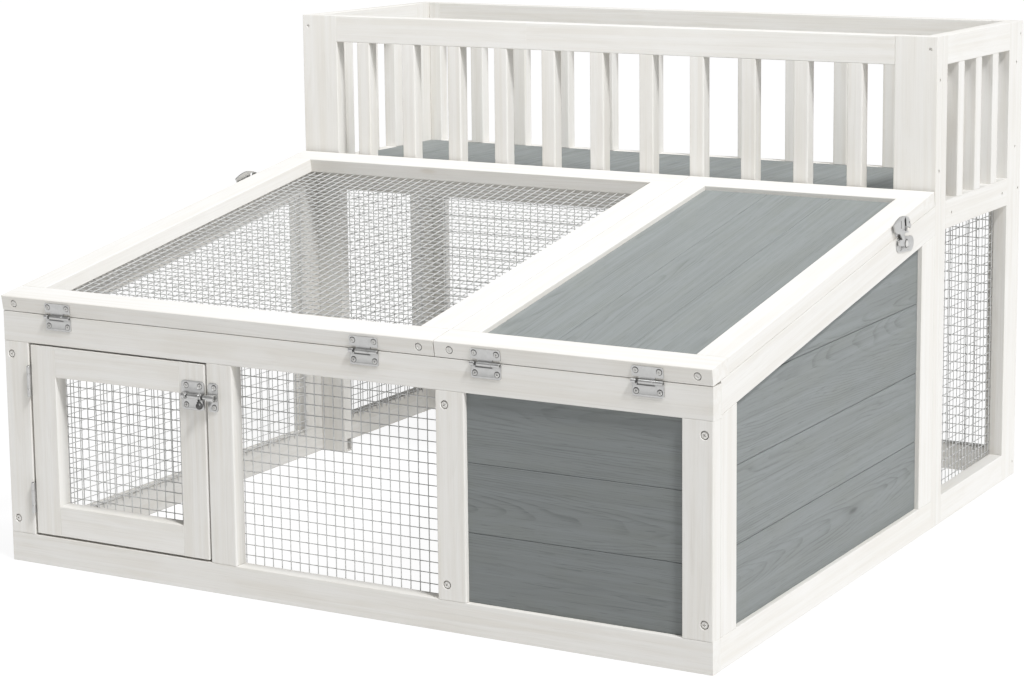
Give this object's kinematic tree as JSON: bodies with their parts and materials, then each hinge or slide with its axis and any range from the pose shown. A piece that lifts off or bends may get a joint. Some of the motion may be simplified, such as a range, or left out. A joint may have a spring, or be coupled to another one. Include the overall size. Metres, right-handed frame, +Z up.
{
  "type": "outdoor rabbit run",
  "caption": "Low wooden run with wire mesh sides, a planked shelter bay under hinged sloping lids, a bolted door and a raised fenced deck at the back.",
  "frame": {"origin": "middle of the bounding box at ground level", "axes": "+X to the right of someone facing the door, +Y from the door wall to the back, +Z up"},
  "size_m": [0.9728, 0.9774, 0.633],
  "materials": {
    "whitewashed_wood": "matt whitewash, fine grain showing through",
    "grey_stained_planks": "matt grey stain with dark grain streaks",
    "galvanised_wire": "galvanised, satin",
    "zinc_plated_fittings": "zinc plated, satin"
  },
  "bodies": {
    "run_frame": {"front_bottom_rail": "whitewashed_wood", "front_top_rail": "whitewashed_wood", "front_left_stile": "whitewashed_wood", "front_door_post": "whitewashed_wood", "front_middle_stile": "whitewashed_wood", "front_right_stile": "whitewashed_wood", "front_mesh": "galvanised_wire", "front_planks": "grey_stained_planks", "left_wall_rails": "whitewashed_wood", "left_wall_stiles": "whitewashed_wood", "left_wall_mesh": "galvanised_wire", "right_wall_rails": "whitewashed_wood", "right_wall_stiles": "whitewashed_wood", "right_wall_planks": "grey_stained_planks", "partition_frame": "whitewashed_wood", "partition_planks": "grey_stained_planks", "rear_legs": "whitewashed_wood", "rear_front_rails": "whitewashed_wood", "front_pickets": "whitewashed_wood", "rear_left_frame": "whitewashed_wood", "rear_left_pickets": "whitewashed_wood", "rear_left_mesh": "galvanised_wire", "rear_right_frame": "whitewashed_wood", "rear_right_pickets": "whitewashed_wood", "rear_right_mesh": "galvanised_wire", "back_frame": "whitewashed_wood", "back_pickets": "whitewashed_wood", "back_mesh": "galvanised_wire", "deck_bearers": "whitewashed_wood", "deck_planks": "grey_stained_planks", "lid_hinge_wall_leaves": "zinc_plated_fittings", "lid_hinge_pins": "zinc_plated_fittings", "door_hinge_frame_leaves": "zinc_plated_fittings", "door_hinge_pins": "zinc_plated_fittings", "bolt_keeper": "zinc_plated_fittings", "latch_plates": "zinc_plated_fittings", "frame_screws": "zinc_plated_fittings"},
    "mesh_lid": {"mesh_lid_cross_rails": "whitewashed_wood", "mesh_lid_side_rails": "whitewashed_wood", "mesh_lid_mesh": "galvanised_wire", "mesh_lid_screws": "zinc_plated_fittings", "mesh_lid_hinge_leaves": "zinc_plated_fittings", "left_latch_keeper": "zinc_plated_fittings"},
    "shelter_lid": {"shelter_lid_cross_rails": "whitewashed_wood", "shelter_lid_side_rails": "whitewashed_wood", "shelter_lid_planks": "grey_stained_planks", "shelter_lid_screws": "zinc_plated_fittings", "shelter_lid_hinge_leaves": "zinc_plated_fittings", "right_latch_keeper": "zinc_plated_fittings"},
    "door": {"door_stiles": "whitewashed_wood", "door_rails": "whitewashed_wood", "door_mesh": "galvanised_wire", "door_screws": "zinc_plated_fittings", "door_hinge_door_leaves": "zinc_plated_fittings", "bolt_base": "zinc_plated_fittings"},
    "bolt_rod": {"bolt_rod": "zinc_plated_fittings"},
    "bolt_knob": {"bolt_knob": "zinc_plated_fittings"},
    "left_latch_hook": {"left_latch_hook": "zinc_plated_fittings"},
    "right_latch_hook": {"right_latch_hook": "zinc_plated_fittings"}
  },
  "joints": [
    {"name": "mesh_lid_hinge", "type": "hinge", "parent": "run_frame", "child": "mesh_lid", "pos_m": [0, -0.47941, 0.3119], "axis": [1, 0, 0], "range_deg": [0, 170]},
    {"name": "shelter_lid_hinge", "type": "hinge", "parent": "run_frame", "child": "shelter_lid", "pos_m": [0, -0.47941, 0.3119], "axis": [1, 0, 0], "range_deg": [0, 170]},
    {"name": "door_hinge", "type": "hinge", "parent": "run_frame", "child": "door", "pos_m": [-0.4415, -0.4792, 0.155], "axis": [0, 0, -1], "range_deg": [0, 170]},
    {"name": "bolt_slide", "type": "slide", "parent": "door", "child": "bolt_rod", "axis": [-1, 0, 0], "range_m": [0, 0.0155]},
    {"name": "bolt_turn", "type": "hinge", "parent": "bolt_rod", "child": "bolt_knob", "pos_m": [-0.18475, -0.48151, 0.2366], "axis": [-1, 0, 0], "range_deg": [0, 90]},
    {"name": "left_latch_turn", "type": "hinge", "parent": "run_frame", "child": "left_latch_hook", "pos_m": [-0.4839, 0.04241, 0.38858], "axis": [1, 0, 0], "range_deg": [0, 90]},
    {"name": "right_latch_turn", "type": "hinge", "parent": "run_frame", "child": "right_latch_hook", "pos_m": [0.4839, 0.05356, 0.38861], "axis": [1, 0, 0], "range_deg": [0, 90]}
  ]
}
